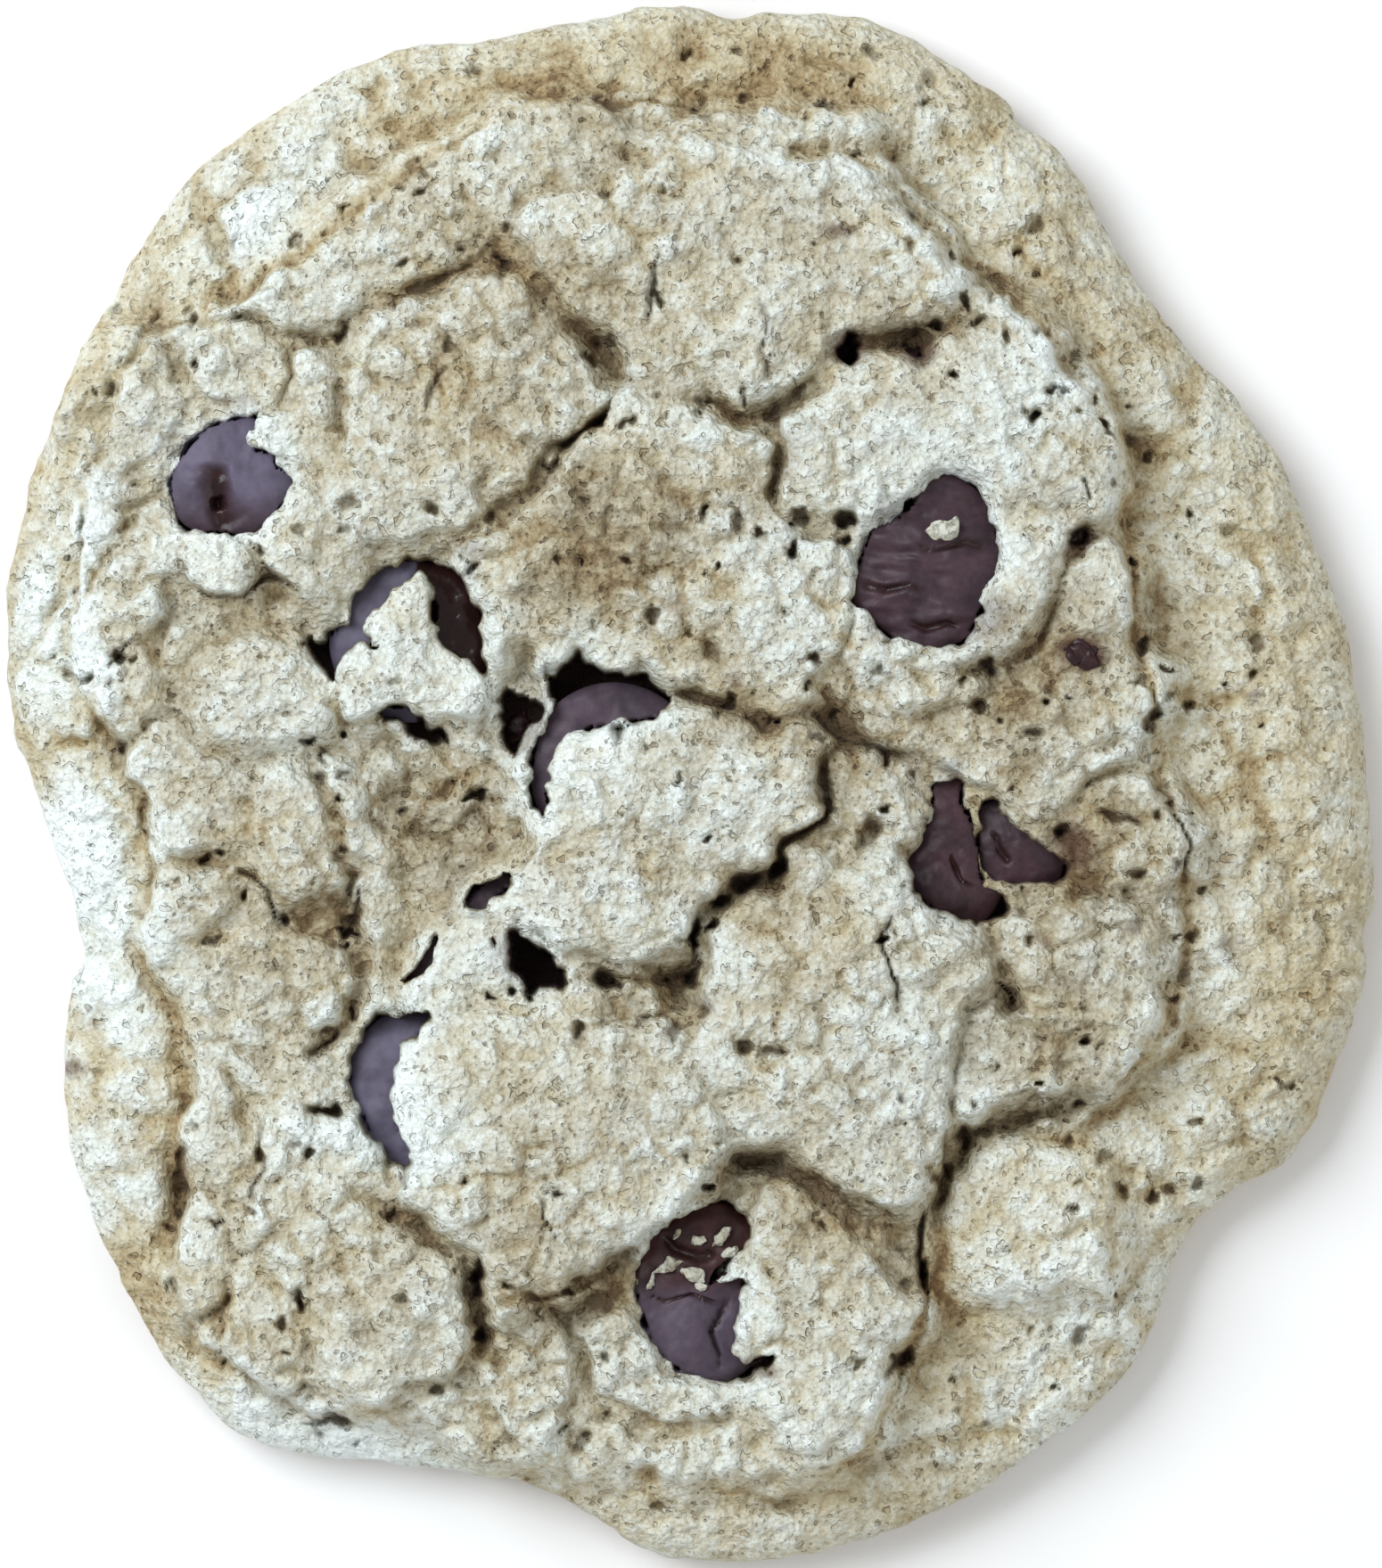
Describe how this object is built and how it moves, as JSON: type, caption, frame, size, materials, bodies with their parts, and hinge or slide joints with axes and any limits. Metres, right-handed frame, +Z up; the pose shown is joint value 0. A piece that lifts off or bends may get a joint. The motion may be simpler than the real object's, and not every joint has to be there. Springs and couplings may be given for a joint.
{
  "type": "chocolate chip cookie",
  "caption": "Round home-baked cookie with a low smooth rim, a raised cracked middle and chocolate chips set into its top.",
  "frame": {"origin": "on the flat underside, below the middle of the cookie's bounding box", "axes": "+X across the cookie, +Y along its longest way, +Z up out of the side with the chips"},
  "size_m": [0.0885, 0.1006, 0.0126],
  "materials": {
    "dough": "matte",
    "chocolate": "satin"
  },
  "bodies": {
    "root": {"dough": "dough", "chip_upturned": "chocolate", "chip_horned": "chocolate", "chip_crescent": "chocolate", "chip_smeared": "chocolate", "chip_split_left": "chocolate", "chip_split_right": "chocolate", "chip_bluish": "chocolate", "chip_cracked": "chocolate", "chip_under_flap": "chocolate"}
  },
  "joints": []
}
